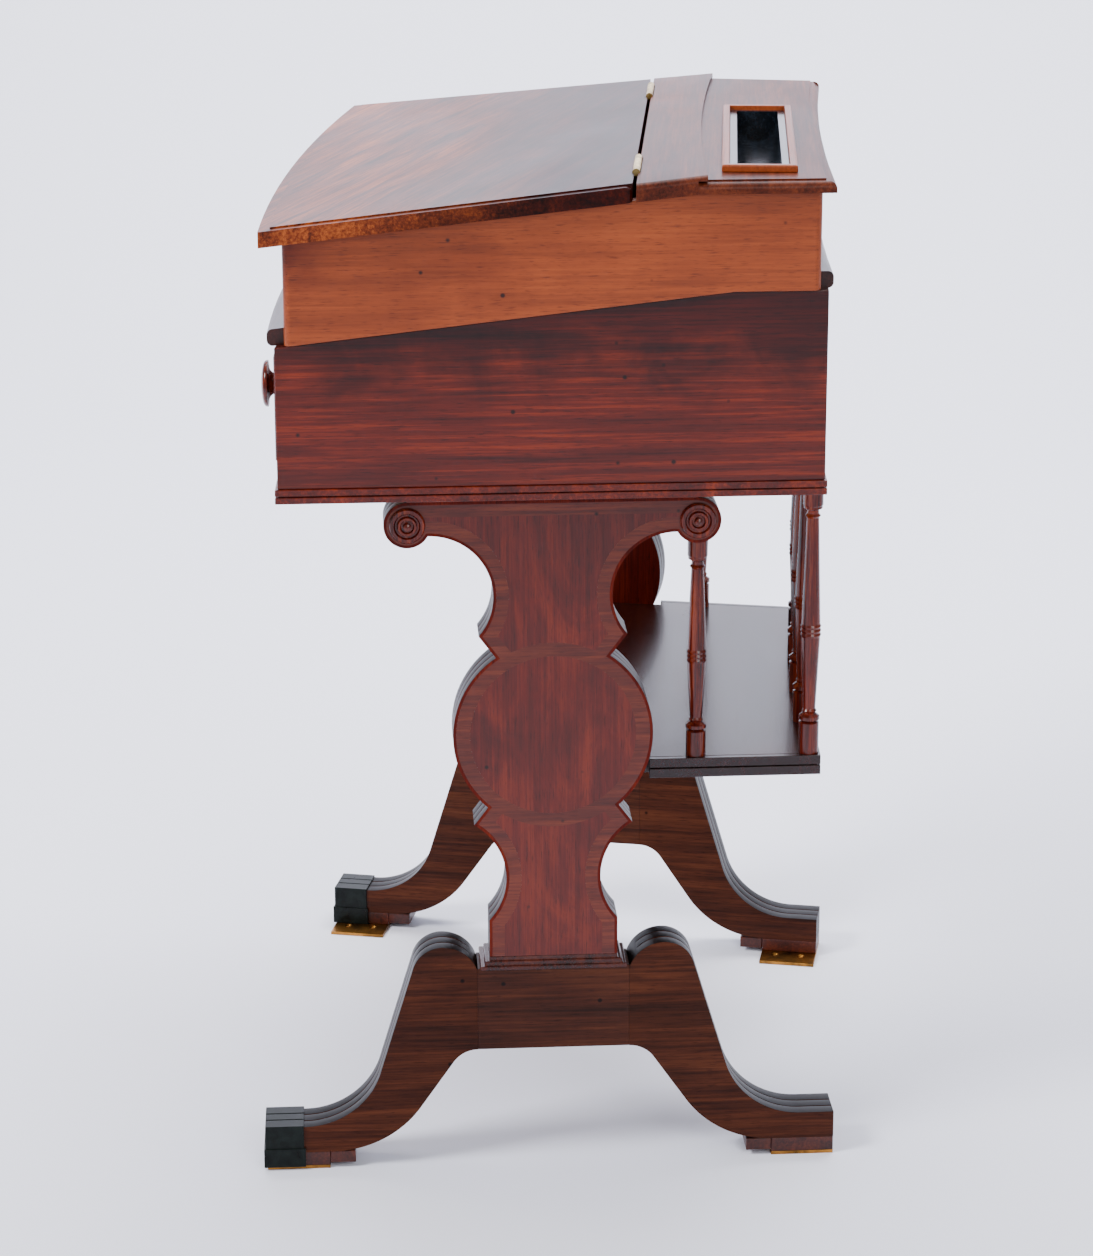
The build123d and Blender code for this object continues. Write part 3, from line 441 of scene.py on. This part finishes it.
def softened(name, width, segments=3):
    mesh = bmesh.new()
    mesh.from_mesh(nodes[name].data)
    bmesh.ops.remove_doubles(mesh, verts=mesh.verts, dist=0.01 * MM)
    bmesh.ops.dissolve_limit(mesh, angle_limit=radians(0.5), verts=mesh.verts, edges=mesh.edges)
    if name.startswith(REEDED):
        round_reeds(mesh, REED_ROUND)
    data = bpy.data.meshes.new(name + "_eased")
    mesh.to_mesh(data)
    mesh.free()
    if "custom_normal" in data.attributes:
        data.attributes.remove(data.attributes["custom_normal"])
    data.shade_smooth()
    data.set_sharp_from_angle(angle=SHARP)
    data.materials.append(finish_of(name))
    piece = bpy.data.objects.new(name + "_eased", data)
    bpy.context.scene.collection.objects.link(piece)
    bevel = piece.modifiers.new("eased_edges", "BEVEL")
    bevel.width = width * MM
    bevel.segments = segments
    bevel.limit_method = "ANGLE"
    bevel.angle_limit = SHARP
    bevel.harden_normals = True
    bodies, subparts = frame["record"]["behaviour"]["bodies"], frame["record"]["subparts"]
    body = next(title for title, members in bodies.items() if name in members)
    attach(piece, body)
    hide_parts(name)
    return piece


EASED = {
    "lid": 1.2, "fixed_strip": 0.8, "rear_board": 0.8, "pen_tray_frame": 1.0, "box_cheek": 1.2,
    "case_side": 1.0, "box_front": 1.0, "shelf": 0.8, "drawer_front": 1.6,
    "writing_board": 1.0, "base_moulding": 1.6,
    "foot_rail": 0.7, "front_leg": 0.5, "rear_leg": 0.5, "trestle_panel": 0.4,
    "plinth_moulding": 1.2, "toe_sleeve": 0.5, "front_toe_blocks": 0.8,
    "rear_toe_blocks": 0.8, "front_floor_plate": 0.5, "rear_floor_plate": 0.5,
}
for name in sorted(nodes):
    width = next((w for start, w in EASED.items() if name.startswith(start)), None)
    if width:
        softened(name, width)

# %% [markdown]
# A studio cove is one sheet of paper that runs from the floor up the wall without a corner.
# Here an edge is drawn back and up, and its corner is bevelled wide.

# %% Floor and cove
COVE_HALF, COVE_DEPTH, COVE_HEIGHT, COVE_ROUND = 9.0, 4.5, 6.0, 2.2


def make_cove():
    mesh = bmesh.new()
    bmesh.ops.create_grid(mesh, x_segments=1, y_segments=1, size=COVE_HALF)
    far_edge = min(mesh.edges, key=lambda e: (e.verts[0].co + e.verts[1].co).x)
    for vertex in far_edge.verts:
        vertex.co.x = -COVE_DEPTH
    raised = bmesh.ops.extrude_edge_only(mesh, edges=[far_edge])["geom"]
    for vertex in [v for v in raised if isinstance(v, bmesh.types.BMVert)]:
        vertex.co.z = COVE_HEIGHT
    bmesh.ops.bevel(
        mesh, geom=[far_edge], offset=COVE_ROUND, segments=24, profile=0.5, affect="EDGES", material=-1,
    )
    data = bpy.data.meshes.new("studio_cove")
    bmesh.ops.recalc_face_normals(mesh, faces=mesh.faces)
    mesh.to_mesh(data)
    mesh.free()
    data.shade_smooth()
    cove = bpy.data.objects.new("studio_cove", data)
    bpy.context.scene.collection.objects.link(cove)
    return cove


paper, paper_shader = blank("matt_paper")
paper_shader.inputs["Base Color"].default_value = colour("#eef0ff")
paper_shader.inputs["Roughness"].default_value = 0.85
paper_shader.inputs["Specular IOR Level"].default_value = 0.15
make_cove().data.materials.append(paper)

# %% [markdown]
# The light is that of a copy studio: a strong soft bank high on the sitter's side, a wider
# and weaker one behind the camera, one above, one that lifts the wall, and a pale room that
# fills the shadows. Sizes are in metres and powers in watts.


# %% Lights
def soft_bank(name, place, target, size, power):
    lamp = bpy.data.lights.new(name, "AREA")
    lamp.shape = "RECTANGLE"
    lamp.size, lamp.size_y = size
    lamp.energy = power
    bank = bpy.data.objects.new(name, lamp)
    bank.location = place
    bank.rotation_euler = (Vector(target) - Vector(place)).to_track_quat("-Z", "Y").to_euler()
    bpy.context.scene.collection.objects.link(bank)
    return bank


soft_bank("key_bank", (1.6, -2.6, 2.9), (0, 0, 0.55), (1.1, 1.1), 165)
soft_bank("front_bank", (3.4, 1.6, 2.4), (0, 0, 0.5), (1.6, 1.6), 60)
soft_bank("top_bank", (-0.6, 0.3, 3.2), (0, 0, 0.6), (1.6, 2.4), 60)
soft_bank("wall_bank", (-1.5, 0, 3.8), (-4.5, 0, 1.4), (3.4, 3.0), 330)

world = bpy.data.worlds.new("pale_room")
world.use_nodes = True
room = world.node_tree.nodes["Background"]
room.inputs["Color"].default_value = colour("#f4f2f0")
room.inputs["Strength"].default_value = 0.62
bpy.context.scene.world = world

# %% [markdown]
# The desk is seen from its right-hand end, a little above its top, through a long lens. The
# camera looks down only slightly and is shifted instead, which keeps the uprights upright.

# %% Camera
CAMERA_PLACE = Vector((2.934, 0.1509, 1.3677))
CAMERA_YAW, CAMERA_PITCH, CAMERA_ROLL = -0.0565, 0.2700, -0.0022
LENS_MM, LENS_SHIFT = 91.86, -0.1035

level = cos(CAMERA_PITCH)
ahead = Vector((-cos(CAMERA_YAW) * level, sin(CAMERA_YAW) * level, -sin(CAMERA_PITCH)))
level_right = Vector((sin(CAMERA_YAW), cos(CAMERA_YAW), 0))
level_up = level_right.cross(ahead)
right = cos(CAMERA_ROLL) * level_right + sin(CAMERA_ROLL) * level_up
above = cos(CAMERA_ROLL) * level_up - sin(CAMERA_ROLL) * level_right

view = bpy.data.cameras.new("end_view")
view.lens = LENS_MM
view.shift_y = LENS_SHIFT
camera = bpy.data.objects.new("end_view", view)
turned = Matrix((right, above, -ahead)).transposed().to_4x4()
camera.matrix_world = Matrix.Translation(CAMERA_PLACE) @ turned
bpy.context.scene.collection.objects.link(camera)
bpy.context.scene.camera = camera
